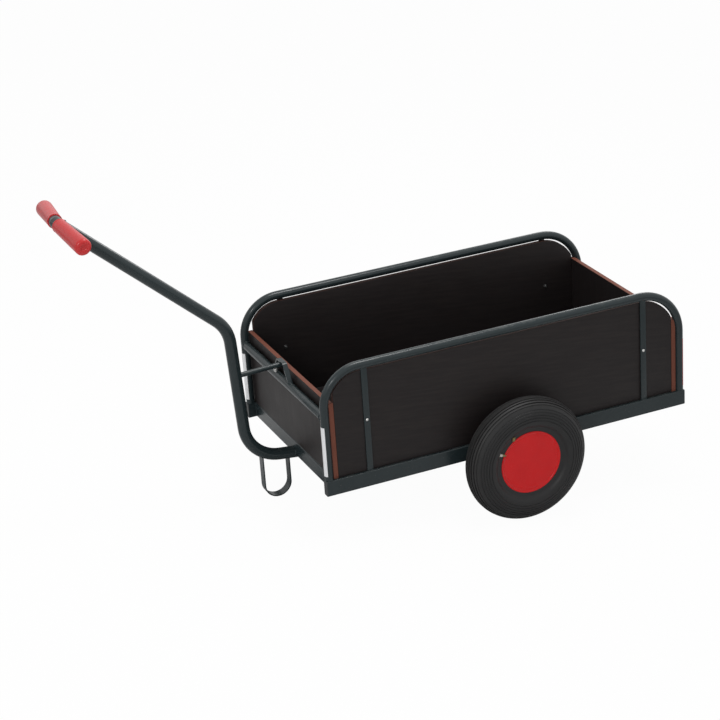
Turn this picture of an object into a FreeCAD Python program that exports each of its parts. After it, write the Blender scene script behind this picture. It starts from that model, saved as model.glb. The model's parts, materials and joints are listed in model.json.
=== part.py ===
import FreeCAD, Part
import math
import os

V = FreeCAD.Vector

# Two-wheeled hand cart: a plywood box in a tubular steel frame, on one axle, with a bent
# drawbar that ends in a swept T-handle and a strap stand that it rests on when parked.
#
# The pieces are drawn level first: X runs from the front end of the side rails to the rear,
# Y is 0 in the middle plane with the left side at -Y, and Z is 0 under the side rails.
# The last section tips the whole cart on its axle until the stand touches the floor.

# ---- driving dimensions (mm) ----
cart_length = 1258.0          # side rails, end to end
cart_width = 680.0            # over the side rails
side_height = 416.0           # top of the side tubes above the underside of the rails

tube_d = 26.9                 # side hoops and crossbars
tube_wall = 2.3
front_bend_r = 120.0          # centre line of the rounded top corners
rear_bend_r = 145.0

rail_h = 50.0                 # rectangular hollow section of the base frame
rail_w = 25.0
rail_wall = 2.0
rail_corner_r = 3.0
end_cap_t = 2.0               # plastic plugs in the rail ends
end_cap_corner_r = 4.0

board_t = 15.0                # film-faced plywood
board_edge_r = 1.0
end_wall_h = 250.0            # front and rear walls, above the rails
panel_gap = 4.0               # between a side panel and the tube around it
wall_post_gap = 1.0           # between an end wall and the posts
wall_notch = 0.8              # room around the bent tube at a wall's top corners
wall_panel_clearance = 1.0
deck_clearance = 1.0

upright_w = 20.0              # flat bars that carry the side panels
upright_t = 5.0
upright_inset = 148.0         # centre line, from each end of the cart

member_w = 25.0               # cross members under the deck
member_h = rail_h - board_t
member_wall = 2.0
outer_member_inset = 230.0    # first and last member, from each end of the cart
axle_member_offset = 80.0     # the middle pair, each side of the axle

crossbar_height = 257.0       # centre line above the underside of the rails

axle_x = 641.5
axle_drop = 5.0               # axle centre below the underside of the rails
axle_d = 20.0
collar_d = 32.0
collar_clearance = 0.5        # between the collar and the hub
saddle_l = 70.0
saddle_h = 24.0
saddle_corner_r = 10.0

tyre_d = 406.0
tyre_w = 100.0
tyre_shoulder_r = 185.0
tyre_shoulder_w = 76.0
tyre_seat_w = 66.0
wheel_gap = 15.0              # between tyre and side rail
rim_r = 100.0                 # seat of the tyre
rim_wall = 4.0
rim_flange_h = 3.0
rim_flange_t = 4.0
web_t = 5.0
web_root_r = 30.0
hub_r = 22.0
hub_inner = 44.0              # hub end towards the cart, from the wheel's middle plane
hub_outer = 26.0
bore_clearance = 0.05
axle_end = 30.0               # axle end, from the wheel's middle plane
cap_r = 102.5
cap_face = 39.0               # outer edge ring of the cap, from the wheel's middle plane
cap_ring_w = 7.0
cap_dish = 2.5
cap_t = 3.0

drawbar_d = 38.0
drawbar_wall = 2.6
handle_x = -640.7             # middle of the handle
handle_z = 914.0
knee_x = -150.6               # corner between the sloping and the steep run
knee_z = 469.0
knee_r = 120.0
heel_x = -124.8               # corner between the steep and the low run
heel_z = 20.7
heel_r = 125.0
tail_overlap = 60.0           # the low run ends this far behind the first cross member

handle_half = 194.0           # middle of the handle to the end of each half
handle_sweep = 26.0           # each end lies this far back along the drawbar
grip_start = 22.0
grip_inner_r = 22.5
grip_outer_r = 25.5
grip_end_t = 7.0
grip_round_r = 9.0

bracket_w = 15.0              # flat bar of the brace bracket
bracket_t = 5.0
bracket_top_half = 22.0
bracket_foot_half = 64.0
bracket_height = 324.0        # top of the bracket above the underside of the rails
brace_d = 16.0
brace_rise = 5.0              # the rod climbs this much from the drawbar to the bracket

strap_w = 30.0                # stand, one U of flat bar
strap_t = 4.0
stand_x = -38.0
stand_centre_z = -84.0        # centre of the round bottom
stand_inner_r = 41.5
stand_leg_top = 15.0

reflector_t = 0.6
reflector_arc = 115.0         # degrees of the post that a strip covers
reflector_z = (66.0, 229.0)   # lower and upper end of each strip

# ---- derived places ----
half_w = cart_width / 2
tube_r = tube_d / 2
hoop_y = half_w - tube_r
post_x = (tube_r, cart_length - tube_r)
panel_outer_y = half_w - upright_t * 2
panel_inner_y = panel_outer_y - board_t
wall_x = tube_d + wall_post_gap
axle_z = -axle_drop
wheel_y = half_w + wheel_gap + tyre_w / 2
member_x = (
    outer_member_inset,
    axle_x - axle_member_offset - member_w,
    axle_x + axle_member_offset,
    cart_length - outer_member_inset - member_w,
)
strap_outer_r = stand_inner_r + strap_t
drawbar_r = drawbar_d / 2


# ---- helpers ----
def box(x, y, z):
    """Block between the lower and upper value of each pair."""
    size = [high - low for low, high in (x, y, z)]
    return Part.makeBox(*size, V(x[0], y[0], z[0]))


def cylinder(radius, start, end):
    return Part.makeCylinder(radius, (end - start).Length, start, end - start)


def mirrored(shape):
    """The same piece on the right-hand side of the cart."""
    return shape.mirror(V(0, 0, 0), V(0, 1, 0))


def rounded(shape, radius, direction):
    """Fillet the straight edges that run along one direction."""
    picked = [e for e in shape.Edges
              if isinstance(e.Curve, Part.Line) and abs(abs(e.Curve.Direction.dot(direction)) - 1) < 1e-6]
    return shape.makeFillet(radius, picked)


def hollow_section(x, y, z, wall, along):
    """Rectangular hollow section with rounded corners, open at the ends of one axis."""
    spans = [x, y, z]
    inner = [span if i == along else (span[0] + wall, span[1] - wall) for i, span in enumerate(spans)]
    direction = V(*[1.0 if i == along else 0.0 for i in range(3)])
    outside = rounded(box(x, y, z), rail_corner_r, direction)
    inside = rounded(box(*inner), rail_corner_r - wall / 2, direction)
    return outside.cut(inside)


def bent_path(points, radii):
    """Straight runs through the points, joined by tangent arcs at the inner ones."""
    edges = []
    here = points[0]
    for before, corner, after, radius in zip(points, points[1:], points[2:], radii):
        back = (before - corner).normalize()
        ahead = (after - corner).normalize()
        half_turn = (math.pi - back.getAngle(ahead)) / 2
        reach = radius * math.tan(half_turn)
        start = corner + back * reach
        end = corner + ahead * reach
        middle = corner + (back + ahead).normalize() * (radius / math.cos(half_turn) - radius)
        edges.append(Part.LineSegment(here, start).toShape())
        edges.append(Part.Arc(start, middle, end).toShape())
        here = end
    edges.append(Part.LineSegment(here, points[-1]).toShape())
    return Part.Wire(edges)


def bar_along(points, radii, diameter):
    ring = Part.Wire([Part.makeCircle(diameter / 2, points[0], points[1] - points[0])])
    return bent_path(points, radii).makePipeShell([ring], True, False)


def tube_along(points, radii, diameter, wall):
    return bar_along(points, radii, diameter).cut(bar_along(points, radii, diameter - 2 * wall))


def strap_along(points, radii, thickness, width, side):
    """Flat bar bent on edge: its path lies in one plane, and side is that plane's normal."""
    run = (points[1] - points[0]).normalize()
    across = run.cross(side).normalize() * thickness
    corner = points[0] - side * (width / 2)
    section = Part.makePolygon([corner, corner + across, corner + across + side * width,
                                corner + side * width, corner])
    return bent_path(points, radii).makePipeShell([section], True, False, 1)


def turned(profile, centre):
    """Solid of revolution about the axle line; profile gives edges in (radius, offset)."""
    face = Part.Face(Part.Wire(profile))
    return face.revolve(V(0, 0, 0), V(0, 1, 0), 360).translated(centre)


def line(a, b):
    return Part.LineSegment(V(a[0], a[1], 0), V(b[0], b[1], 0)).toShape()


def arc(a, b, c):
    return Part.Arc(V(a[0], a[1], 0), V(b[0], b[1], 0), V(c[0], c[1], 0)).toShape()


def outline(points):
    return [line(a, b) for a, b in zip(points, points[1:] + points[:1])]


# ---- base frame ----
def side_rail():
    rail = hollow_section((end_cap_t, cart_length - end_cap_t), (-half_w, -half_w + rail_w),
                          (0, rail_h), rail_wall, 0)
    return rail.cut(axle_bar())


def end_caps():
    """A plug closes each end of both side rails."""
    caps = []
    for x in ((0, end_cap_t), (cart_length - end_cap_t, cart_length)):
        plug = box(x, (-half_w, -half_w + rail_w), (0, rail_h))
        caps.append(rounded(plug, end_cap_corner_r, V(1, 0, 0)))
    return Part.Compound(caps + [mirrored(cap) for cap in caps])


def cross_rail(x):
    return hollow_section((x, x + rail_w), (-half_w + rail_w, half_w - rail_w), (0, rail_h), rail_wall, 1)


def cross_members():
    """Four hollow sections between the side rails carry the deck."""
    members = [hollow_section((x, x + member_w), (-half_w + rail_w, half_w - rail_w),
                              (0, member_h), member_wall, 1) for x in member_x]
    members[0] = members[0].cut(drawbar_bar())
    return Part.Compound(members)


def hoop_points(y):
    top = side_height - tube_r
    return [V(post_x[0], y, rail_h), V(post_x[0], y, top), V(post_x[1], y, top), V(post_x[1], y, rail_h)]


def side_hoop():
    return tube_along(hoop_points(-hoop_y), (front_bend_r, rear_bend_r), tube_d, tube_wall)


def crossbar(x):
    start, end = V(x, -hoop_y, crossbar_height), V(x, hoop_y, crossbar_height)
    bar = cylinder(tube_r, start, end).cut(cylinder(tube_r - tube_wall, start, end))
    posts = [cylinder(tube_r, V(x, y, 0), V(x, y, side_height)) for y in (-hoop_y, hoop_y)]
    return bar.cut(posts)


def uprights():
    """Two flat bars a side, welded between rail and top tube, with the panel bolted behind."""
    hoop = bar_along(hoop_points(-hoop_y), (front_bend_r, rear_bend_r), tube_d)
    bars = []
    for x in (upright_inset, cart_length - upright_inset):
        bar = box((x - upright_w / 2, x + upright_w / 2),
                  (-half_w + upright_t, -half_w + 2 * upright_t), (rail_h, side_height - tube_r))
        bars.append(bar.cut(hoop))
    return Part.Compound(bars)


# ---- box ----
def side_wall():
    """Panel whose top corners follow the hoop around it."""
    low = wall_x + board_t + wall_panel_clearance
    high = cart_length - low
    top = side_height - tube_d - panel_gap
    depth = (-panel_outer_y, -panel_inner_y)
    panel = box((low, high), depth, (rail_h, top))
    for post, bend_r, inward in ((post_x[0], front_bend_r, 1), (post_x[1], rear_bend_r, -1)):
        corner_r = bend_r - tube_r - panel_gap
        x, z = post + inward * bend_r, top - corner_r
        corner = box(sorted((x, x - inward * corner_r)), depth, (z, top))
        disc = cylinder(corner_r, V(x, depth[0], z), V(x, depth[1], z))
        panel = panel.cut(corner.cut(disc))
    return panel


def end_wall(x):
    """Board across the cart, notched at its top corners where the side tubes start to bend."""
    wall = box((x, x + board_t), (-panel_outer_y, panel_outer_y), (rail_h, rail_h + end_wall_h))
    wall = rounded(wall, board_edge_r, V(0, 1, 0))
    room = [bar_along(hoop_points(y), (front_bend_r, rear_bend_r), tube_d + 2 * wall_notch)
            for y in (-hoop_y, hoop_y)]
    return wall.cut(room)


def deck_board():
    start = tube_d + rail_w + deck_clearance
    side = half_w - rail_w - deck_clearance
    return box((start, cart_length - start), (-side, side), (member_h, rail_h))


# ---- axle and wheels ----
def axle_bar():
    end = wheel_y + axle_end
    return cylinder(axle_d / 2, V(axle_x, -end, axle_z), V(axle_x, end, axle_z))


def axle():
    """Round bar with a collar welded on outside each rail, which the hub runs up to."""
    collar_end = wheel_y - hub_inner - collar_clearance
    left = cylinder(collar_d / 2, V(axle_x, -half_w, axle_z), V(axle_x, -collar_end, axle_z))
    return axle_bar().fuse([left, mirrored(left)]).removeSplitter()


def axle_saddle():
    """Block under the rail that the axle passes through."""
    block = box((axle_x - saddle_l / 2, axle_x + saddle_l / 2), (-half_w, -half_w + rail_w), (-saddle_h, 0))
    low_edges = [e for e in block.Edges if abs(e.CenterOfMass.z + saddle_h) < 1e-6
                 and abs(e.Curve.Direction.y) > 0.9]
    return block.makeFillet(saddle_corner_r, low_edges).cut(axle_bar())


def tyre():
    seat, shoulder = tyre_seat_w / 2, tyre_shoulder_w / 2
    bulge_r = (rim_r + tyre_shoulder_r) / 2
    wall = [arc((rim_r + rim_flange_h, side * (seat + rim_flange_t)), (bulge_r, side * tyre_w / 2),
                (tyre_shoulder_r, side * shoulder)) for side in (-1, 1)]
    crown = arc((tyre_shoulder_r, -shoulder), (tyre_d / 2, 0), (tyre_shoulder_r, shoulder))
    beads = []
    for side in (-1, 1):
        foot, lip = side * seat, side * (seat + rim_flange_t)
        beads.append(line((rim_r, foot), (rim_r + rim_flange_h, foot)))
        beads.append(line((rim_r + rim_flange_h, foot), (rim_r + rim_flange_h, lip)))
    seat_line = line((rim_r, -seat), (rim_r, seat))
    return turned(Part.__sortEdges__(wall + [crown, seat_line] + beads), V(axle_x, -wheel_y, axle_z))


def rim():
    """Barrel with two flanges, a web and the hub, in one piece."""
    seat = tyre_seat_w / 2
    lip = seat + rim_flange_t
    barrel = outline([(rim_r - rim_wall, -lip), (rim_r + rim_flange_h, -lip), (rim_r + rim_flange_h, -seat),
                      (rim_r, -seat), (rim_r, seat), (rim_r + rim_flange_h, seat),
                      (rim_r + rim_flange_h, lip), (rim_r - rim_wall, lip)])
    web = outline([(hub_r - 1, -web_t / 2), (rim_r - rim_wall + 1, -web_t / 2),
                   (rim_r - rim_wall + 1, web_t / 2), (hub_r - 1, web_t / 2)])
    root = outline([(hub_r - 1, -web_t * 2), (hub_r + 1, -web_t * 2), (web_root_r, -web_t / 2),
                    (web_root_r, web_t / 2), (hub_r + 1, web_t * 2), (hub_r - 1, web_t * 2)])
    bore_r = axle_d / 2 + bore_clearance
    hub = outline([(bore_r, -hub_outer), (hub_r, -hub_outer), (hub_r, hub_inner), (bore_r, hub_inner)])
    centre = V(axle_x, -wheel_y, axle_z)
    pieces = [turned(edges, centre) for edges in (barrel, web, root, hub)]
    return pieces[0].fuse(pieces[1:]).removeSplitter()


def hub_cap():
    """Red cover with a raised edge ring and a shallow dish."""
    seat_face = tyre_seat_w / 2 + rim_flange_t
    ring_in = cap_r - cap_ring_w
    dish_out = cap_face - cap_dish
    dish_in = dish_out - cap_t
    profile = outline([(0, -dish_in), (ring_in - cap_t, -dish_in), (ring_in, -seat_face),
                       (cap_r, -seat_face), (cap_r, -cap_face + 1), (cap_r - 1, -cap_face),
                       (ring_in + 1, -cap_face), (ring_in - 1, -dish_out), (0, -dish_out)])
    return turned(profile, V(axle_x, -wheel_y, axle_z))


# ---- drawbar, handle and brace ----
def tail_end():
    """The low run passes just under the first cross member and ends behind it."""
    touch = V(member_x[0] + member_w / 2, 0, -drawbar_r)
    heel = V(heel_x, 0, heel_z)
    run = (touch - heel).normalize()
    return touch + run * (member_w / 2 + tail_overlap)


def drawbar_points():
    return [V(handle_x, 0, handle_z), V(knee_x, 0, knee_z), V(heel_x, 0, heel_z), tail_end()]


def drawbar_bar():
    return bar_along(drawbar_points(), (knee_r, heel_r), drawbar_d)


def drawbar():
    pipe = tube_along(drawbar_points(), (knee_r, heel_r), drawbar_d, drawbar_wall)
    return pipe.cut([handle_half_bar(-1), handle_half_bar(1)])


def handle_direction(side):
    """One half of the handle, swept back along the drawbar."""
    slope = (V(knee_x, 0, knee_z) - V(handle_x, 0, handle_z)).normalize()
    return (V(0, side * handle_half, 0) + slope * handle_sweep).normalize()


def handle_half_bar(side):
    middle = V(handle_x, 0, handle_z)
    return cylinder(drawbar_r, middle, middle + handle_direction(side) * handle_half)


def handle_bar():
    """Two tubes that meet in the middle at the sweep angle, mitred there."""
    middle = V(handle_x, 0, handle_z)
    halves = []
    for side in (-1, 1):
        run = handle_direction(side)
        start, end = middle - run * drawbar_r, middle + run * handle_half
        pipe = cylinder(drawbar_r, start, end).cut(cylinder(drawbar_r - drawbar_wall, start, end))
        reach = handle_half + 4 * drawbar_d
        beyond = box((handle_x - reach, handle_x + reach), sorted((0, -side * reach)),
                     (handle_z - reach, handle_z + reach))
        halves.append(pipe.cut(beyond))
    return halves[0].fuse(halves[1])


def grip(side):
    """Rubber sleeve, thicker towards its round closed end."""
    middle = V(handle_x, 0, handle_z)
    run = handle_direction(side)
    start = middle + run * grip_start
    length = handle_half + grip_end_t - grip_start
    sleeve = Part.makeCone(grip_inner_r, grip_outer_r, length, start, run)
    rim_edge = [e for e in sleeve.Edges if abs(e.Length - 2 * math.pi * grip_outer_r) < 0.01]
    sleeve = sleeve.makeFillet(grip_round_r, rim_edge)
    return sleeve.cut(cylinder(drawbar_r, start - run, middle + run * handle_half))


def brace_bracket():
    """Flat bar bent into a low arch on the front crossbar."""
    top = bracket_height - bracket_t
    foot = crossbar_height
    x = post_x[0]
    points = [V(x, -bracket_foot_half, foot), V(x, -bracket_top_half, top),
              V(x, bracket_top_half, top), V(x, bracket_foot_half, foot)]
    strap = strap_along(points, (2 * bracket_t, 2 * bracket_t), -bracket_t, bracket_w, V(1, 0, 0))
    return strap.cut(cylinder(tube_r, V(x, -half_w, crossbar_height), V(x, half_w, crossbar_height)))


def brace_rod():
    """Round rod from the steep run of the drawbar to the underside of the bracket."""
    end = V(post_x[0] + bracket_w / 2, 0, bracket_height - bracket_t - brace_d / 2)
    along = (knee_z - end.z) / (knee_z - heel_z)
    start = V(knee_x + (heel_x - knee_x) * along, 0, end.z - brace_rise)
    top = V(post_x[0] - bracket_w / 2, 0, end.z)
    flat_part = cylinder(brace_d / 2, top, end)
    sloped = cylinder(brace_d / 2, start, top)
    knuckle = Part.makeSphere(brace_d / 2, top)
    return sloped.fuse([knuckle, flat_part]).removeSplitter().cut(drawbar_bar())


def stand_strap():
    """U of flat bar welded under the drawbar; its round bottom meets the floor."""
    x = stand_x
    depth = (-strap_w / 2, strap_w / 2)
    outer = cylinder(strap_outer_r, V(x, depth[0], stand_centre_z), V(x, depth[1], stand_centre_z))
    inner = cylinder(stand_inner_r, V(x, depth[0], stand_centre_z), V(x, depth[1], stand_centre_z))
    legs = box((x - strap_outer_r, x + strap_outer_r), depth, (stand_centre_z, stand_leg_top))
    gap = box((x - stand_inner_r, x + stand_inner_r), depth, (stand_centre_z, stand_leg_top))
    strap = outer.fuse(legs).cut([inner, gap]).removeSplitter()
    return strap.cut(drawbar_bar())


# ---- reflective strips on the posts ----
def reflectors(x, outward):
    """A thin strip bent round the outer face of each post."""
    strips = []
    for y in (-hoop_y, hoop_y):
        low, high = V(x, y, reflector_z[0]), V(x, y, reflector_z[1])
        ring = Part.makeCylinder(tube_r + reflector_t, high.z - low.z, low, V(0, 0, 1), reflector_arc)
        first = 180.0 if outward < 0 else 0.0
        ring.rotate(low, V(0, 0, 1), first - reflector_arc / 2)
        strips.append(ring.cut(cylinder(tube_r, low, high)))
    return Part.Compound(strips)


# ---- all nodes, level ----
nodes = {}


def add_pair(name, shape):
    nodes["left_" + name] = shape
    nodes["right_" + name] = mirrored(shape)


add_pair("side_rail", side_rail())
add_pair("side_hoop", side_hoop())
add_pair("uprights", uprights())
add_pair("side_wall", side_wall())
add_pair("axle_saddle", axle_saddle())
add_pair("tyre", tyre())
add_pair("rim", rim())
add_pair("hub_cap", hub_cap())
add_pair("grip", grip(-1))
nodes["rail_end_caps"] = end_caps()
nodes["front_cross_rail"] = cross_rail(tube_d).cut(drawbar_bar())
nodes["rear_cross_rail"] = cross_rail(cart_length - tube_d - rail_w)
nodes["deck_cross_members"] = cross_members()
nodes["front_crossbar"] = crossbar(post_x[0])
nodes["rear_crossbar"] = crossbar(post_x[1])
nodes["deck_board"] = deck_board()
nodes["front_wall"] = end_wall(wall_x)
nodes["rear_wall"] = end_wall(cart_length - wall_x - board_t)
nodes["axle"] = axle()
nodes["drawbar"] = drawbar()
nodes["handle_bar"] = handle_bar()
nodes["brace_bracket"] = brace_bracket()
nodes["brace_rod"] = brace_rod()
nodes["stand_strap"] = stand_strap()
nodes["front_reflectors"] = reflectors(post_x[0], -1)
nodes["rear_reflectors"] = reflectors(post_x[1], 1)

# ---- parking: tip the cart forward on its wheels until the stand meets the floor ----
run = axle_x - stand_x
rise = axle_z - stand_centre_z
park_angle = math.asin((tyre_d / 2 - strap_outer_r) / math.hypot(run, rise)) - math.atan2(rise, run)

for shape in nodes.values():
    shape.rotate(V(axle_x, 0, axle_z), V(0, 1, 0), -math.degrees(park_angle))
extent = Part.Compound(list(nodes.values())).optimalBoundingBox(False, False)
shift = V(-extent.Center.x, 0, tyre_d / 2 - axle_z)

os.makedirs("parts", exist_ok=True)
for name, shape in nodes.items():
    shape.translate(shift)
    shape.exportStep(os.path.join("parts", name + ".step"))
print("park angle", round(math.degrees(park_angle), 3), "shift", [round(c, 3) for c in shift])
print("size", round(extent.XLength, 1), round(extent.YLength, 1), round(extent.ZLength, 1),
      "lowest", round(extent.ZMin + shift.z, 3), "nodes", len(nodes))
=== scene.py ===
# %% [markdown]
# # A two-wheeled hand cart
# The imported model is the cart's steelwork and boards at their true sizes. This lesson
# dresses it: every sheet, tube and casting gets a finish, and the small things that a
# drawing leaves out, such as welds, bolts and tyre ribs, are modelled on top.

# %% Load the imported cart
import json
import math

import bmesh
import bpy
from mathutils import Matrix, Vector


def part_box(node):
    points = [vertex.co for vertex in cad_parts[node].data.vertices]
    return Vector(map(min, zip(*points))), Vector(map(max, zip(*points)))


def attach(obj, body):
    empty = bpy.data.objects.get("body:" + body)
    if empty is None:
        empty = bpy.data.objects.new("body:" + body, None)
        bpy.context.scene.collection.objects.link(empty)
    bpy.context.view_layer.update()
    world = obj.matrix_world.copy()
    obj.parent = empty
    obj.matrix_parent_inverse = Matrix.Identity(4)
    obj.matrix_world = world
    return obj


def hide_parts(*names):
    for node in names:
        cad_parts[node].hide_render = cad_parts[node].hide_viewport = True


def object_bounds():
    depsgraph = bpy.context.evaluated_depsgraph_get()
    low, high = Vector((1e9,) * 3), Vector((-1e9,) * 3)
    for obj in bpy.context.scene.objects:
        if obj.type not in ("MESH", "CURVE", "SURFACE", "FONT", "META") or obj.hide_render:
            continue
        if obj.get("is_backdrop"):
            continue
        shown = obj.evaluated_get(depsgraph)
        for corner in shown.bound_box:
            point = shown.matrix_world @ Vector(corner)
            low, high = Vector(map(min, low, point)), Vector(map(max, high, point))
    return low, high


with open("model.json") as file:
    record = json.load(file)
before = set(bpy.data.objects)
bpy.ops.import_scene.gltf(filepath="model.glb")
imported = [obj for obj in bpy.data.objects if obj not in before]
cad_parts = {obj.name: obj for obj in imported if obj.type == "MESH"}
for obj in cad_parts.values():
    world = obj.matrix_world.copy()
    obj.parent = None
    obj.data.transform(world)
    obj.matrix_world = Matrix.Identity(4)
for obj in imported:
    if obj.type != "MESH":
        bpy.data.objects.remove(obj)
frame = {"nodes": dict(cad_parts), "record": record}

cad_low, cad_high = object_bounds()
print("cart box", [round(v, 3) for v in (*cad_low, *cad_high)])

# %% [markdown]
# The cart is parked nose-down on its strap stand, so its own axes lean against the
# floor. Working in the workshop drawing's millimetres is easier than in leaning metres.
# A single matrix could be typed in by hand, but it is read from the axle and the floor
# of the box instead, so that the details follow if the cart is parked differently.

# %% The cart's own axes
MM = 0.001
AXLE_X, AXLE_Z = 641.5, -5.0        # the axle's place in the workshop drawing
axle_low, axle_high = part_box("axle")
axle_centre = (axle_low + axle_high) / 2
floor_normal = Vector(next(m["axis"] for m in frame["record"]["mounts"] if m["name"] == "load_floor"))
pitch = math.atan2(-floor_normal.x, floor_normal.z)
cart_axes = Matrix.Translation(axle_centre) @ Matrix.Rotation(-pitch, 4, "Y")
cart_turn = cart_axes.to_3x3()


def spot(x, y, z):
    """A place in the workshop drawing, in the row frame."""
    return cart_axes @ Vector(((x - AXLE_X) * MM, y * MM, (z - AXLE_Z) * MM))


def heading(x, y, z):
    """A direction in the workshop drawing, in the row frame."""
    return (cart_turn @ Vector((x, y, z))).normalized()


def aim(place, direction):
    """Matrix that puts a shape's own Z along a direction."""
    return Matrix.Translation(place) @ direction.to_track_quat("Z", "Y").to_matrix().to_4x4()


print("parked pitch", round(math.degrees(pitch), 2), "degrees; axle at", [round(v, 4) for v in axle_centre])

# %% [markdown]
# Shader nodes are easier to read as sums than as boxes and noodles. Each socket is
# wrapped in a small class, so that an ordinary expression adds its Math nodes. Colours
# never go through it, because a Math node would turn them grey.

# %% Shader sockets that do arithmetic


class Wire:
    """One output socket that takes part in Python arithmetic."""

    def __init__(self, finish, socket):
        self.finish = finish
        self.socket = socket

    def sum(self, operation, *values):
        return self.finish.node("ShaderNodeMath", {"operation": operation}, dict(enumerate(values)))

    def __add__(self, other):
        return self.sum("ADD", self, other)

    def __sub__(self, other):
        return self.sum("SUBTRACT", self, other)

    def __rsub__(self, other):
        return self.sum("SUBTRACT", other, self)

    def __mul__(self, other):
        return self.sum("MULTIPLY", self, other)

    def __truediv__(self, other):
        return self.sum("DIVIDE", self, other)

    def __pow__(self, other):
        return self.sum("POWER", self, other)

    __radd__ = __add__
    __rmul__ = __mul__

    def above(self, low, high):
        """0 below low, 1 above high, and a smooth climb between."""
        return self.finish.node(
            "ShaderNodeMapRange", {"interpolation_type": "SMOOTHSTEP"},
            {"Value": self, "From Min": low, "From Max": high},
        )


class Finish:
    """A material under construction."""

    def __init__(self, name, **constants):
        self.material = bpy.data.materials.new(name)
        self.material.use_nodes = True
        self.tree = self.material.node_tree
        self.shader = self.tree.nodes["Principled BSDF"]
        for socket, value in constants.items():
            self.shader.inputs[socket.replace("_", " ")].default_value = value
        self.place = self.node("ShaderNodeTexCoord", out="Object")

    def node(self, kind, settings=None, sockets=None, out=0):
        """Adds one node: its settings first, then the values or links of its sockets."""
        made = self.tree.nodes.new(kind)
        for name, value in (settings or {}).items():
            if name == "stops":
                ramp = made.color_ramp.elements
                for index, (position, colour) in enumerate(value):
                    stop = ramp[index] if index < len(ramp) else ramp.new(position)
                    stop.position = position
                    stop.color = (*colour, 1)
            else:
                setattr(made, name, value)
        for name, value in (sockets or {}).items():
            if isinstance(value, Wire):
                self.tree.links.new(value.socket, made.inputs[name])
            else:
                made.inputs[name].default_value = value
        return Wire(self, made.outputs[out])

    def dot(self, vector, axis):
        sockets = {0: vector, 1: axis}
        return self.node("ShaderNodeVectorMath", {"operation": "DOT_PRODUCT"}, sockets, out="Value")

    def stretched(self, scale):
        """The piece's coordinates, squeezed so that a pattern runs long on the small axes."""
        return self.node("ShaderNodeVectorMath", {"operation": "MULTIPLY"}, {0: self.place, 1: scale})

    def noise(self, scale, detail=3.0, roughness=0.5, vector=None):
        sockets = {"Vector": vector or self.place, "Scale": scale, "Detail": detail, "Roughness": roughness}
        return self.node("ShaderNodeTexNoise", {}, sockets)

    def mix(self, amount, first, second):
        first, second = [c if isinstance(c, Wire) else (*c, 1) for c in (first, second)]
        return self.node("ShaderNodeMix", {"data_type": "RGBA"}, {0: amount, 6: first, 7: second}, out=2)

    def bump(self, height, distance, strength=1.0):
        sockets = {"Height": height, "Distance": distance, "Strength": strength}
        return self.node("ShaderNodeBump", {}, sockets)

    def feed(self, **wires):
        for name, wire in wires.items():
            self.tree.links.new(wire.socket, self.shader.inputs[name.replace("_", " ")])
        return self.material


# %% [markdown]
# The frame is powder coated in a dark grey-green. Baked powder is never mirror smooth:
# it has an orange peel about a millimetre across, and dust settles on whatever faces up.
# Small scuffs show a duller, paler film. A flat colour would make tubes look like
# plastic pipes, so the peel goes in the bump and the scuffs in colour and roughness.

# %% Powder coat
def upward(finish):
    """1 on faces that look at the sky."""
    normal = finish.node("ShaderNodeNewGeometry", out="Normal")
    return finish.dot(normal, (0, 0, 1)).above(0.45, 0.95)


def powder_coat():
    coat = Finish("anthracite_powder_coat", Specular_IOR_Level=0.32)
    peel = coat.noise(950, 2)
    shade = coat.noise(9, 4)
    scuffs = coat.noise(140, 6, 0.65).above(0.66, 0.74)
    dust = upward(coat) * coat.noise(35, 5).above(0.35, 0.75)
    tone = coat.mix(shade, (0.015, 0.023, 0.025), (0.021, 0.031, 0.034))
    tone = coat.mix(scuffs * 0.35, tone, (0.13, 0.14, 0.14))
    tone = coat.mix(dust * 0.06, tone, (0.30, 0.29, 0.27))
    return coat.feed(
        Base_Color=tone,
        Roughness=0.20 + shade * 0.08 + scuffs * 0.2 + dust * 0.10,
        Normal=coat.bump(peel + scuffs * -0.5, 0.00012, 0.35),
    )


coated = powder_coat()
print("finish", coated.name)

# %% [markdown]
# The boards are birch plywood with a dark phenolic film on both faces. The film is
# smooth, but the grain under it still shows as long shallow waves. The sawn edges are
# sealed with a red-brown paint that lets the plies through. One material can do both
# if it asks which way a face looks: along the board's thickness is film, across is edge.

# %% Film-faced plywood
PLY = 1.36 * MM                     # thickness of one veneer


def plywood(name, thickness_axis, grain_scale, dark_edge, light_edge):
    board = Finish(name, Specular_IOR_Level=0.22)
    normal = board.node("ShaderNodeNewGeometry", out="Normal")
    facing = board.dot(normal, tuple(thickness_axis))
    film = board.node("ShaderNodeMath", {"operation": "ABSOLUTE"}, {0: facing}).above(0.55, 0.8)
    grain = board.noise(1.0, 6, 0.6, board.stretched(grain_scale))
    mottle = board.noise(14, 5, 0.55)
    rubbed = board.noise(60, 7, 0.7).above(0.62, 0.72)
    face = board.mix(grain.above(0.35, 0.7), (0.012, 0.009, 0.009), (0.018, 0.014, 0.013))
    face = board.mix(mottle * 0.5, face, (0.016, 0.014, 0.015))
    face = board.mix(rubbed * 0.12, face, (0.05, 0.042, 0.038))
    depth = board.dot(board.place, tuple(thickness_axis)) / PLY
    veneer = board.node("ShaderNodeMath", {"operation": "PINGPONG"}, {0: depth, 1: 1.0})
    fibres = board.noise(420, 4, 0.6)
    edge = board.mix(veneer.above(0.3, 0.7), dark_edge, light_edge)
    edge = board.mix(fibres.above(0.5, 0.75) * 0.5, edge, tuple(0.55 * c for c in dark_edge))
    return board.feed(
        Base_Color=board.mix(film, edge, face),
        Roughness=film * -0.18 + 0.62 + mottle * 0.12 + rubbed * 0.1,
        Normal=board.bump(grain * film + fibres * (1 - film) * 0.8, 0.0004, 0.5),
    )


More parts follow.
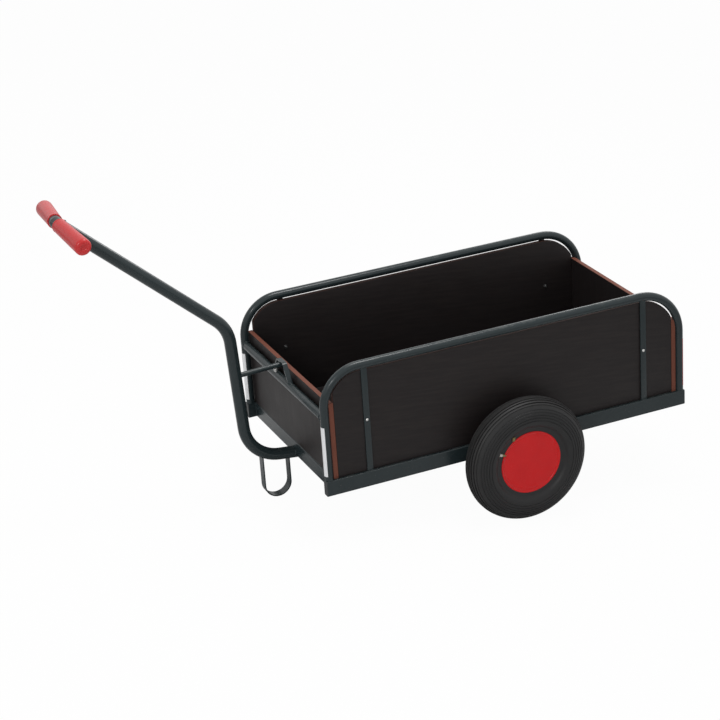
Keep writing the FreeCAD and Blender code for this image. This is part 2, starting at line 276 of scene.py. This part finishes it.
along = heading(1, 0, 0)
SEALED = ((0.12, 0.036, 0.022), (0.20, 0.070, 0.044))
# The side panels' edges are darker than the sealed red-brown: painted shade for the shadow under the top
# tube.
EDGE_PAINTED_SHADE = ((0.040, 0.016, 0.012), (0.065, 0.026, 0.019))
ply_sides = plywood("plywood_sides", (0, 1, 0), (10, 10, 120), *EDGE_PAINTED_SHADE)
ply_ends = plywood("plywood_ends", along, (40, 120, 6), *SEALED)
ply_floor = plywood("plywood_floor", floor_normal, (8, 120, 60), *SEALED)
print("finishes", ply_sides.name, ply_ends.name, ply_floor.name)

# %% [markdown]
# Tyre rubber is a very dark grey, and matt where it has rolled. Dust stays in the
# grooves and on the shoulder, so the pattern depends on the distance from the axle.
# Both wheels share one centre seen from the side, so one material serves both.

# %% Rubber
wheel_low, wheel_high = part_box("left_tyre")
wheel_centre = (wheel_low + wheel_high) / 2


def wheel_radius(finish):
    """Distance from the axle line, in metres."""
    centred = finish.node(
        "ShaderNodeVectorMath", {"operation": "SUBTRACT"},
        {0: finish.place, 1: (wheel_centre.x, 0, wheel_centre.z)},
    )
    flat = finish.node("ShaderNodeVectorMath", {"operation": "MULTIPLY"}, {0: centred, 1: (1, 0, 1)})
    return finish.node("ShaderNodeVectorMath", {"operation": "LENGTH"}, {0: flat}, out="Value")


def tyre_rubber():
    rubber = Finish("tyre_rubber", Specular_IOR_Level=0.32)
    radius = wheel_radius(rubber)
    grit = rubber.noise(700, 4, 0.6)
    cloud = rubber.noise(22, 5, 0.6)
    tread = radius.above(0.176, 0.192)
    rings = rubber.node("ShaderNodeMath", {"operation": "SINE"}, {0: radius * 5200})
    tone = rubber.mix(cloud, (0.010, 0.010, 0.011), (0.016, 0.016, 0.016))
    tone = rubber.mix(tread * cloud * 0.4, tone, (0.045, 0.043, 0.041))
    return rubber.feed(
        Base_Color=tone,
        Roughness=0.38 + cloud * 0.15 + tread * 0.1,
        Normal=rubber.bump(grit + rings * (1 - tread) * 0.08, 0.00025, 0.45),
    )


def grip_rubber():
    soft = Finish("red_grip_rubber", Specular_IOR_Level=0.45)
    stipple = soft.noise(1100, 2)
    handled = soft.noise(28, 5, 0.6)
    tone = soft.mix(handled, (0.48, 0.014, 0.016), (0.60, 0.024, 0.026))
    tone = soft.mix(soft.noise(160, 6, 0.7).above(0.62, 0.75) * 0.3, tone, (0.25, 0.02, 0.02))
    return soft.feed(
        Base_Color=tone,
        Roughness=0.24 + handled * 0.12,
        Normal=soft.bump(stipple, 0.0002, 0.4),
    )


rubber, grip_red = tyre_rubber(), grip_rubber()
print("finishes", rubber.name, grip_red.name)

# %% [markdown]
# The wheel covers are glossy red plastic, the rims behind them painted steel. Moulded
# plastic has faint flow marks and fine scratches that turn round the wheel as it is
# wiped clean. They are too shallow to model and go in the roughness and the bump.

# %% Red plastic and painted rims
def red_plastic(name, light, dark, gloss):
    cover = Finish(name, Specular_IOR_Level=0.26)
    flow = cover.noise(18, 4, 0.55)
    wiped = cover.noise(1, 5, 0.6, cover.stretched((900, 60, 160))).above(0.6, 0.72)
    specks = cover.noise(420, 3, 0.6).above(0.72, 0.78)
    tone = cover.mix(flow, dark, light)
    tone = cover.mix(specks * 0.3, tone, (0.35, 0.12, 0.11))
    return cover.feed(
        Base_Color=tone,
        Roughness=gloss + flow * 0.08 + wiped * 0.12 + specks * 0.2,
        Normal=cover.bump(flow + wiped * 0.3, 0.0003, 0.2),
    )


cover_red = red_plastic("red_cover_plastic", (0.68, 0.008, 0.010), (0.56, 0.006, 0.008), 0.20)
rim_red = red_plastic("red_rim_paint", (0.50, 0.012, 0.012), (0.38, 0.010, 0.010), 0.34)
print("finishes", cover_red.name, rim_red.name)

# %% [markdown]
# Bright metal tells the eye how big things are: zinc on the axle and the bolts, brass
# on the valves. Plated zinc has a crystalline mottle and rubs dull at touched places.
# Metals take their look from roughness far more than from colour.

# %% Bright metals
def bright_metal(name, light, dark, dull):
    plate = Finish(name, Metallic=1.0)
    crystals = plate.node("ShaderNodeTexVoronoi", {}, {"Vector": plate.place, "Scale": 700.0}, out="Color")
    patch = plate.node("ShaderNodeSeparateColor", {}, {"Color": crystals})
    tarnish = plate.noise(90, 5, 0.65)
    return plate.feed(
        Base_Color=plate.mix(tarnish, light, dark),
        Roughness=dull + patch * 0.1 + tarnish * 0.15,
        Normal=plate.bump(tarnish + patch * 0.3, 0.0001, 0.3),
    )


zinc = bright_metal("zinc_plate", (0.72, 0.72, 0.70), (0.45, 0.45, 0.44), 0.22)
brass = bright_metal("valve_brass", (0.30, 0.24, 0.12), (0.14, 0.11, 0.06), 0.38)
# A darker copy of the zinc for the rivet tails inside the box: its dark colour is painted shade.
shade_painted_zinc = bright_metal("zinc_painted_shade_inside", (0.16, 0.16, 0.16), (0.07, 0.07, 0.07), 0.34)
print("finishes", zinc.name, brass.name)

# %% [markdown]
# Reflective strips look like a flat sticker until light grazes them: under the clear
# face lies a honeycomb of tiny sealed cells. A Voronoi texture gives cells of the right
# kind, and their borders are drawn paler and a little raised.

# %% Reflective strips and small plastics
def reflective(name, cell, border):
    strip = Finish(name, Coat_Weight=0.6, Coat_Roughness=0.08)
    comb = strip.node(
        "ShaderNodeTexVoronoi", {"feature": "DISTANCE_TO_EDGE"},
        {"Vector": strip.place, "Scale": 330.0}, out="Distance",
    )
    wall = 1 - comb.above(0.03, 0.12)
    grime = strip.noise(55, 5, 0.6)
    tone = strip.mix(wall, cell, border)
    tone = strip.mix(grime.above(0.6, 0.85) * 0.15, tone, (0.40, 0.39, 0.37))
    return strip.feed(
        Base_Color=tone,
        Roughness=0.25 + grime * 0.2,
        Normal=strip.bump(wall, 0.0001, 0.3),
    )


def moulded_plastic(name, light, dark):
    plastic = Finish(name, Specular_IOR_Level=0.4)
    texture = plastic.noise(1300, 3)
    cloud = plastic.noise(40, 4)
    return plastic.feed(
        Base_Color=plastic.mix(cloud, light, dark),
        Roughness=0.48 + cloud * 0.15,
        Normal=plastic.bump(texture, 0.0002, 0.35),
    )


strip_white = reflective("white_reflective_strip", (0.78, 0.79, 0.81), (0.88, 0.89, 0.90))
strip_red = reflective("red_reflective_strip", (0.42, 0.012, 0.012), (0.55, 0.05, 0.05))
plug_black = moulded_plastic("plug_plastic", (0.022, 0.025, 0.027), (0.034, 0.037, 0.039))
cap_pale = moulded_plastic("valve_cap_plastic", (0.60, 0.57, 0.52), (0.48, 0.45, 0.41))
print("finishes", strip_white.name, strip_red.name, plug_black.name, cap_pale.name)

# %% [markdown]
# The steel and the wheels that the workshop drawing shapes fully keep their meshes and
# only change finish. A table of names is the plainest way to say which gets which.

# %% Finishes for the carried-over parts
FINISH_OF = {
    coated: ["left_side_rail", "right_side_rail", "left_side_hoop", "right_side_hoop", "front_cross_rail",
             "rear_cross_rail", "deck_cross_members", "front_crossbar", "rear_crossbar", "drawbar",
             "handle_bar", "brace_bracket", "brace_rod", "stand_strap", "left_uprights", "right_uprights",
             "left_axle_saddle", "right_axle_saddle"],
    ply_sides: ["left_side_wall", "right_side_wall"],
    ply_ends: ["front_wall", "rear_wall"],
    ply_floor: ["deck_board"],
    rubber: ["left_tyre", "right_tyre"],
    rim_red: ["left_rim", "right_rim"],
    cover_red: ["left_hub_cap", "right_hub_cap"],
    grip_red: ["left_grip", "right_grip"],
    zinc: ["axle"],
    plug_black: ["rail_end_caps"],
    strip_white: ["front_reflectors"],
    strip_red: ["rear_reflectors"],
}
for material, names in FINISH_OF.items():
    for name in names:
        node = frame["nodes"][name]
        for place in node.material_slots:
            place.material = material
named = sorted(name for names in FINISH_OF.values() for name in names)
print(len(named), "parts finished; left over:", sorted(set(frame["nodes"]) - set(named)))

# %% [markdown]
# Every new piece ends the same way: doubled points are merged, the faces are turned
# outwards, and curved faces are shaded smooth while real corners stay crisp.

# %% Helpers for new pieces
def add_piece(name, bm, finish, body="cart", stands_for=(), crease=34):
    bmesh.ops.remove_doubles(bm, verts=bm.verts, dist=2e-6)
    bmesh.ops.recalc_face_normals(bm, faces=bm.faces)
    mesh = bpy.data.meshes.new(name)
    bm.to_mesh(mesh)
    bm.free()
    mesh.shade_smooth()
    mesh.set_sharp_from_angle(angle=math.radians(crease))
    mesh.materials.append(finish)
    piece = bpy.data.objects.new(name, mesh)
    bpy.context.scene.collection.objects.link(piece)
    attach(piece, body)
    if stands_for:
        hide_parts(*stands_for)
    print(name, len(mesh.polygons), "faces")
    return piece


def spin_profile(bm, profile, place, steps, closed=False):
    """Turns (radius, height) points in mm round Z and puts the result in place."""
    points = [bm.verts.new((radius * MM, 0, height * MM)) for radius, height in profile]
    pairs = list(zip(points, points[1:]))
    if closed:
        pairs.append((points[-1], points[0]))
    edges = [bm.edges.new(pair) for pair in pairs]
    before = set(bm.verts) - set(points)
    bmesh.ops.spin(
        bm, geom=points + edges, cent=(0, 0, 0), axis=(0, 0, 1), dvec=(0, 0, 0),
        angle=math.tau, steps=steps, use_merge=True, use_normal_flip=False, use_duplicate=False,
    )
    made = [v for v in bm.verts if v not in before]
    bmesh.ops.transform(bm, matrix=place, verts=made)
    return made


SIDES = {"left": -1, "right": 1}


def wheel_place(side):
    """Wheel's middle, with Z pointing outwards from the cart."""
    low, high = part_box(side + "_tyre")
    return aim((low + high) / 2, Vector((0, SIDES[side], 0)))


# %% [markdown]
# A cart tyre of this kind has plain ribs round the tread and thin raised rings on its
# side. It could be a torus with a bump map, but the ribs show in the outline, so the
# section is drawn point by point and spun. Each groove is four points on the crown arc.

# %% Tyres
CROWN_R, CROWN_C = 49.11, 153.89    # arc over the tread, and its centre above the axle
SIDE_R, SIDE_C, SIDE_DEPTH = 73.35, 144.74, -23.32
TREAD_GROOVES = (35.0, 23.0, 11.5)  # degrees round the crown
SIDE_GROOVES = (141, 150, 158.5, 166.5, 174.5)


def on_crown(angle, sunk=0.0):
    turn = math.radians(angle)
    return CROWN_C + (CROWN_R - sunk) * math.cos(turn), (CROWN_R - sunk) * math.sin(turn)


def on_side(radius, sunk=0.0):
    return radius, SIDE_DEPTH + math.sqrt(SIDE_R ** 2 - (radius - SIDE_C) ** 2) - sunk


def tyre_half():
    """One side of the section, from the bead to the middle of the tread."""
    points = [(100, 33), (103, 33), (103, 37), (105, 37.6), (112, 38.2), (117.5, 39.4), (120.5, 41.6),
              (122.5, 44.2), on_side(125, 0.9), on_side(128, 0.2), on_side(133)]
    for radius in SIDE_GROOVES:
        points += [on_side(radius), on_side(radius + 0.7, 1.5),
                   on_side(radius + 2.5, 1.5), on_side(radius + 3.4)]
    points += [on_crown(48.5), on_crown(47.3, 2.0), on_crown(44.5, 2.0), on_crown(43.2)]
    for angle in TREAD_GROOVES:
        points += [on_crown(angle + 2.6), on_crown(angle + 1.8, 3.4), on_crown(angle - 1.8, 3.4),
                   on_crown(angle - 2.6), on_crown(angle - 5.4)]
    return points


half = tyre_half()
section = half + [(radius, -depth) for radius, depth in reversed(half)]
for side in SIDES:
    bm = bmesh.new()
    spin_profile(bm, section, wheel_place(side), 144, closed=True)
    add_piece(side + "_ribbed_tyre", bm, rubber, side + "_wheel", [side + "_tyre"], crease=28)
print("tyre section has", len(section), "points")

# %% [markdown]
# The red cover is one moulding: a raised round edge, a step, then a shallow dish. The
# drawing has its edges sharp. A spun section with a few more points rounds them, which
# is what catches the light in a thin bright line.

# %% Wheel covers
COVER = [(0, 32.2), (91.0, 32.2), (95.0, 36.9), (102.4, 36.9), (102.5, 37.6), (102.2, 38.3), (101.4, 38.8),
         (100.2, 39.0), (98.6, 38.9), (97.4, 38.3), (96.4, 37.2), (95.4, 35.8), (94.2, 34.8), (92.6, 34.4),
         (90.6, 34.5), (88.0, 34.9), (84, 35.1), (60, 34.8), (40, 34.6), (20, 34.5), (0, 34.45)]
for side in SIDES:
    bm = bmesh.new()
    spin_profile(bm, COVER, wheel_place(side), 144)
    add_piece(side + "_wheel_cover", bm, cover_red,
              side + "_wheel", [side + "_hub_cap"], crease=50)

# %% [markdown]
# The inner tube's valve comes out beside the cover and leans against the tyre. It is a
# threaded brass stem with a plastic cap. The thread is real geometry: a zigzag section,
# spun, is indistinguishable from a helix at this size. A small brass clip sits next to
# it on the rim edge.

# %% Valves
VALVE_AT = (-105.0, 53.0)           # from the axle, in the drawing's X and Z
CLIP_AT = (-65.0, 104.0)


def valve_section():
    points = [(0, -8), (4.0, -8), (4.0, 0), (4.6, 0.4), (4.6, 3.0), (4.0, 3.4)]
    for turn in range(7):
        points += [(3.5, 4.0 + turn), (4.0, 4.5 + turn)]
    return points + [(3.2, 11.4), (0, 11.4)]


CAP_SECTION = [(0, 11), (4.2, 11), (4.7, 11.6), (4.7, 17.5), (4.2, 18.6), (2.5, 19.2), (0, 19.3)]
for side, sign in SIDES.items():
    radial = cart_turn @ Vector((VALVE_AT[0], 0, VALVE_AT[1])).normalized()
    outwards = Vector((0, sign, 0))
    foot = wheel_centre.copy()
    foot.y = -sign * wheel_centre.y
    lean = (radial + outwards * 0.42).normalized()
    place = aim(foot + radial * 0.1055 + outwards * 0.0385, lean)
    bm = bmesh.new()
    spin_profile(bm, valve_section(), place, 20)
    add_piece(side + "_valve_stem", bm, brass, side + "_wheel", crease=20)
    bm = bmesh.new()
    spin_profile(bm, CAP_SECTION, place, 20)
    add_piece(side + "_valve_cap", bm, cap_pale, side + "_wheel")
    radial = cart_turn @ Vector((CLIP_AT[0], 0, CLIP_AT[1])).normalized()
    bm = bmesh.new()
    cube = bmesh.ops.create_cube(bm, size=1.0)["verts"]
    bmesh.ops.scale(bm, vec=(0.010, 0.014, 0.004), verts=cube)
    bmesh.ops.bevel(bm, geom=bm.edges[:], offset=0.0012, segments=2, profile=0.5, affect="EDGES", material=-1)
    clip = aim(foot + radial * 0.1105 + outwards * 0.0395, (outwards - radial * 0.15).normalized())
    bmesh.ops.transform(bm, matrix=clip, verts=bm.verts)
    add_piece(side + "_rim_clip", bm, brass, side + "_wheel")

# %% [markdown]
# The handle ends in two soft red grips. Each tapers out towards a rounded end with a
# small moulded dimple, and has a thin lip where it stops on the tube. The sleeve is
# hollow for the tube, so the section runs back along the bore.

# %% Grips
HANDLE = Vector((-640.7, 0, 914.0))
KNEE = Vector((-150.6, 0, 469.0))
slope = (KNEE - HANDLE).normalized()
GRIP_START, TUBE_R, HANDLE_HALF = 22.0, 19.0, 194.0
GRIP_SWEEP = 26.0


def grip_section():
    points = [(TUBE_R, 0), (21.6, 0), (22.3, 0.5), (22.5, 1.4), (22.3, 2.8), (22.0, 3.4), (22.1, 9)]
    points += [(22.2, 12), (23.8, 90), (25.3, 166)]
    for step in range(1, 10):
        turn = math.radians(step * 10)
        points.append((16.3 + 9 * math.cos(turn), 170 + 9 * math.sin(turn)))
    points += [(9.0, 179), (8.4, 178.6), (7.8, 177.4), (6.8, 177.0), (5.4, 177.4), (3.0, 178.0), (0, 178.2)]
    return points + [(0, HANDLE_HALF - GRIP_START), (TUBE_R, HANDLE_HALF - GRIP_START)]


for side, sign in SIDES.items():
    run = (Vector((0, sign * HANDLE_HALF, 0)) + slope * GRIP_SWEEP).normalized()
    start = HANDLE + run * GRIP_START
    bm = bmesh.new()
    spin_profile(bm, grip_section(), aim(spot(*start), heading(*run)), 64, closed=True)
    add_piece(side + "_soft_grip", bm, grip_red, stands_for=[side + "_grip"], crease=45)

# %% [markdown]
# Sawn boards and sheared bars never have knife edges. The drawing's meshes are loose
# triangles, so a copy is merged, its flat faces are joined, and then the corners are
# bevelled by under a millimetre. The bevel is what makes a board look like a board.

# %% Softened boards and bars
def softened(name, node, width, finish, segments=2):
    bm = bmesh.new()
    bm.from_mesh(frame["nodes"][node].data)
    bmesh.ops.remove_doubles(bm, verts=bm.verts, dist=1e-5)
    bmesh.ops.dissolve_limit(bm, angle_limit=math.radians(0.6), verts=bm.verts, edges=bm.edges)
    corners = [e for e in bm.edges if e.is_manifold and e.calc_face_angle(0) > math.radians(40)]
    bmesh.ops.bevel(
        bm, geom=corners, offset=width * MM, offset_type="OFFSET", segments=segments, profile=0.5,
        affect="EDGES", clamp_overlap=True, material=-1,
    )
    return add_piece(name, bm, finish, stands_for=[node])


for side in SIDES:
    softened(side + "_side_panel", side + "_side_wall", 1.2, ply_sides, 3)
    softened(side + "_upright_bars", side + "_uprights", 0.6, coated)
softened("box_floor", "deck_board", 0.8, ply_floor)

# %% [markdown]
# Each side panel is held to its upright bars by a rivet: a small bright dome outside,
# and inside a washer under the swollen tail, in a darker copy of the zinc that is painted
# shade for the inside of the box. Both are spun sections. A screw with a hexagon nut would
# be the other common way, but it would stand out further.

# %% Panel rivets
DOME = [(0, 2.6), (1.6, 2.45), (3.1, 1.9), (4.2, 1.1), (4.8, 0.3), (4.9, -0.5), (0, -0.5)]
WASHER = [(0, -0.3), (6.6, -0.3), (6.8, 0.0), (6.8, 1.0), (6.4, 1.4), (3.4, 1.5), (3.3, 2.2), (3.0, 3.4),
          (2.2, 4.2), (1.0, 4.5), (0, 4.5)]
RIVET_X, RIVET_Z = (148.0, 1110.0), 221.0
PANEL_FACE, BAR_FACE = 315.0, 335.0
outside, inside = bmesh.new(), bmesh.new()
for sign in SIDES.values():
    for x in RIVET_X:
        spin_profile(outside, DOME, aim(spot(x, sign * BAR_FACE, RIVET_Z), Vector((0, sign, 0))), 24)
        spin_profile(inside, WASHER, aim(spot(x, sign * PANEL_FACE, RIVET_Z), Vector((0, -sign, 0))), 24)
add_piece("rivet_heads", outside, zinc, crease=40)
# The tails take the darker zinc copy, painted shade for the inside of the box.
add_piece("rivet_tails", inside, shade_painted_zinc, crease=30)

# %% [markdown]
# The brace rod is held by a bolt from above, and its domed nut hangs under the rod in
# front of the crossbar. The flats start as a six-sided circle that is pulled down; the
# dome on top of them is spun.

# %% Domed nut under the brace
NUT_DOME = [(6.2, 5.5), (6.0, 7.5), (5.2, 10.0), (3.6, 12.0), (1.8, 13.0), (0, 13.3)]
NUT_WASHER = [(0, -1.5), (8.4, -1.5), (8.6, -1.2), (8.6, 0.0), (8.4, 0.2), (0, 0.2)]
nut_place = aim(spot(-8.0, 0, 301.5), heading(0, 0, -1))
bm = bmesh.new()
hexagon = bmesh.ops.create_circle(bm, cap_ends=True, radius=7.5 * MM, segments=6)["verts"]
raised = bmesh.ops.extrude_face_region(bm, geom=hexagon[0].link_faces[:])["geom"]
raised = [v for v in raised if isinstance(v, bmesh.types.BMVert)]
bmesh.ops.translate(bm, vec=(0, 0, 5.8 * MM), verts=raised)
top_edges = list({e for v in raised for e in v.link_edges})
bmesh.ops.bevel(bm, geom=top_edges, offset=0.7 * MM, segments=2, profile=0.5, affect="EDGES", material=-1)
bmesh.ops.transform(bm, matrix=nut_place, verts=bm.verts)
spin_profile(bm, NUT_DOME, nut_place, 24)
spin_profile(bm, NUT_WASHER, nut_place, 24)
add_piece("brace_nut", bm, zinc, crease=30)

# %% [markdown]
# Every joint of the frame is welded. A weld is a row of overlapping puddles, so a bead
# is a thin tube along the joint whose radius swells and narrows once a puddle. Rings of
# eight points are set along the path and bridged, and all beads make one piece.

# %% Weld beads
PUDDLE = 3.2                        # mm from one ripple to the next


def bead(bm, path, size):
    """A rippled bead through a list of places."""
    last = None
    for index, place in enumerate(path):
        ahead = path[min(index + 1, len(path) - 1)]
        behind = path[max(index - 1, 0)]
        swell = 1.0 if index % 2 else 0.82
        closed_end = index in (0, len(path) - 1)
        ring = bmesh.ops.create_circle(
            bm, cap_ends=closed_end, radius=size * swell * MM, segments=8,
            matrix=aim(place, (ahead - behind).normalized()),
        )["verts"]
        edges = list({e for v in ring for e in v.link_edges if e.other_vert(v) in ring})
        if last:
            bmesh.ops.bridge_loops(bm, edges=last + edges)
        last = edges


def weld_line(bm, start, end, size=2.0):
    start, end = Vector(start), Vector(end)
    count = max(3, round((end - start).length / (PUDDLE / 2)))
    bead(bm, [spot(*start.lerp(end, step / count)) for step in range(count + 1)], size)


def weld_ring(bm, centre, axis, radius, size=2.0, towards=(0, 0, 1), turn=360.0):
    """A bead round a tube; part of a turn is centred on one direction."""
    axis, centre = Vector(axis).normalized(), Vector(centre)
    middle = Vector(towards)
    middle = (middle - axis * middle.dot(axis)).normalized()
    count = max(6, round(math.radians(turn) * radius / (PUDDLE / 2)))
    path = []
    for step in range(count + 1):
        angle = math.radians(turn) * (step / count - 0.5)
        path.append(spot(*(centre + Matrix.Rotation(angle, 3, axis) @ middle * radius)))
    bead(bm, path, size)


HOOP_Y, HOOP_R, CART_L = 326.55, 13.45, 1258.0
POST_X = (13.45, CART_L - 13.45)
RAIL_TOP, CROSSBAR_Z = 50.0, 257.0
low_run = (Vector((242.5, 0, -19.0)) - Vector((-124.8, 0, 20.7))).normalized()
bm = bmesh.new()
for sign in SIDES.values():
    for x in POST_X:
        weld_ring(bm, (x, sign * HOOP_Y, RAIL_TOP), (0, 0, 1), HOOP_R + 0.2, 1.8)
        weld_ring(bm, (x, sign * (HOOP_Y - HOOP_R + 0.6), CROSSBAR_Z), (0, 1, 0), HOOP_R + 0.2, 1.9)
    for x in RIVET_X:
        for edge in (-10, 10):
            weld_line(bm, (x + edge, sign * 334.5, RAIL_TOP), (x + edge, sign * 330.5, RAIL_TOP), 1.8)
        weld_line(bm, (x - 9, sign * 335, RAIL_TOP + 0.3), (x + 9, sign * 335, RAIL_TOP + 0.3), 1.8)
    for x in (26.9, CART_L - 26.9):
        weld_line(bm, (x, sign * 315, 3), (x, sign * 315, 47), 1.9)
    for edge in (-1, 1):
        weld_line(bm, (13.45 + edge * 7, sign * 52, 270.5), (13.45 + edge * 7, sign * 60, 269.0), 1.9)
weld_ring(bm, HANDLE + slope * 19.4, slope, 19.4, 2.4)
weld_ring(bm, (26.9, 0, 4.3), low_run, 19.6, 2.4, turn=200)
weld_ring(bm, (51.9, 0, 1.6), low_run, 19.6, 2.0, turn=180)
add_piece("weld_beads", bm, coated, crease=60)

# %% [markdown]
# The cart stands on a plain pale floor in a white room. The floor and the world are
# white to the eye through Light Path, while the light that reaches the cart stays at
# the level at which colours keep their written values.

# %% Floor and world
FLOOR_SIZE = 60.0
bm = bmesh.new()
bmesh.ops.create_grid(bm, x_segments=1, y_segments=1, size=FLOOR_SIZE / 2)
mesh = bpy.data.meshes.new("studio_floor")
bm.to_mesh(mesh)
bm.free()
studio_floor = bpy.data.objects.new("studio_floor", mesh)
studio_floor.location.z = cad_low.z - 0.0005
bpy.context.scene.collection.objects.link(studio_floor)
studio_floor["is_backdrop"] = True

paper = Finish("studio_paper", Roughness=0.9, Specular_IOR_Level=0.1)
paper.feed(Base_Color=paper.mix(paper.noise(3, 2), (0.80, 0.80, 0.80), (0.82, 0.82, 0.82)))
glow = paper.node("ShaderNodeEmission", {}, {"Color": (1, 1, 1, 1), "Strength": 1.0})
seen = paper.node("ShaderNodeLightPath", out="Is Camera Ray")
share = paper.node("ShaderNodeMixShader", {}, {0: seen * 0.97, 2: glow})
share.finish.tree.links.new(paper.shader.outputs[0], share.socket.node.inputs[1])
output = next(n for n in paper.tree.nodes if n.type == "OUTPUT_MATERIAL")
paper.tree.links.new(share.socket, output.inputs["Surface"])
mesh.materials.append(paper.material)

world = bpy.data.worlds.new("white_room")
world.use_nodes = True
bpy.context.scene.world = world
nodes, links = world.node_tree.nodes, world.node_tree.links
background = nodes["Background"]
path = nodes.new("ShaderNodeLightPath")
seen_rays = nodes.new("ShaderNodeMath")
seen_rays.operation = "MAXIMUM"
links.new(path.outputs["Is Camera Ray"], seen_rays.inputs[0])
links.new(path.outputs["Is Glossy Ray"], seen_rays.inputs[1])
level = nodes.new("ShaderNodeMapRange")
level.inputs["To Min"].default_value = 0.50
links.new(seen_rays.outputs[0], level.inputs["Value"])
background.inputs["Color"].default_value = (1, 1, 1, 1)
links.new(level.outputs[0], background.inputs["Strength"])
print("floor at", round(studio_floor.location.z, 4))

# %% [markdown]
# Three soft lamps: a large one overhead for the shape of the tubes, a softer one from
# the front left so that the near side reads, and a weak one behind to open the shadows.

# %% Lamps
LAMPS = {
    "overhead": ((0.3, -0.2, 3.4), 1.1, 46.0),
    "front_left": ((-3.4, -3.0, 2.6), 0.8, 46.0),
    "behind": ((2.6, 3.0, 2.6), 1.2, 22.0),
}
target = (cad_low + cad_high) / 2
for name, (where, size, power) in LAMPS.items():
    lamp = bpy.data.lights.new(name, "AREA")
    lamp.shape = "SQUARE"
    lamp.size = size
    lamp.energy = power
    holder = bpy.data.objects.new(name, lamp)
    holder.location = where
    holder.rotation_mode = "QUATERNION"
    holder.rotation_quaternion = (target - Vector(where)).to_track_quat("-Z", "Y")
    bpy.context.scene.collection.objects.link(holder)
print(len(LAMPS), "lamps")

# %% [markdown]
# The camera looks down at the left front corner through a long lens, so the cart keeps
# nearly parallel lines. It rolls a little, as a hand-held catalogue camera does.

# %% Camera
LENS = 108.916
EYE = Vector((-2.7083, -5.82217, 2.89112))
RIGHT = Vector((0.91250217, -0.40693934, 0.04171526))
UP = Vector((0.11056698, 0.34353193, 0.93260965))
camera_data = bpy.data.cameras.new("studio_camera")
camera_data.lens = LENS
camera_data.clip_end = 100
camera = bpy.data.objects.new("studio_camera", camera_data)
camera.rotation_mode = "QUATERNION"
camera.matrix_world = Matrix((
    (RIGHT.x, UP.x, RIGHT.cross(UP).x, EYE.x),
    (RIGHT.y, UP.y, RIGHT.cross(UP).y, EYE.y),
    (RIGHT.z, UP.z, RIGHT.cross(UP).z, EYE.z),
    (0, 0, 0, 1),
))
bpy.context.scene.collection.objects.link(camera)
bpy.context.scene.camera = camera
bpy.context.scene.view_settings.view_transform = "Standard"

# %% [markdown]
# Last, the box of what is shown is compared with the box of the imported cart.

# %% Sizes and finish
new_low, new_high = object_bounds()
changes = zip((*cad_low, *cad_high), (*new_low, *new_high))
print("grown by", [round((after - before) / MM, 2) for before, after in changes], "mm")
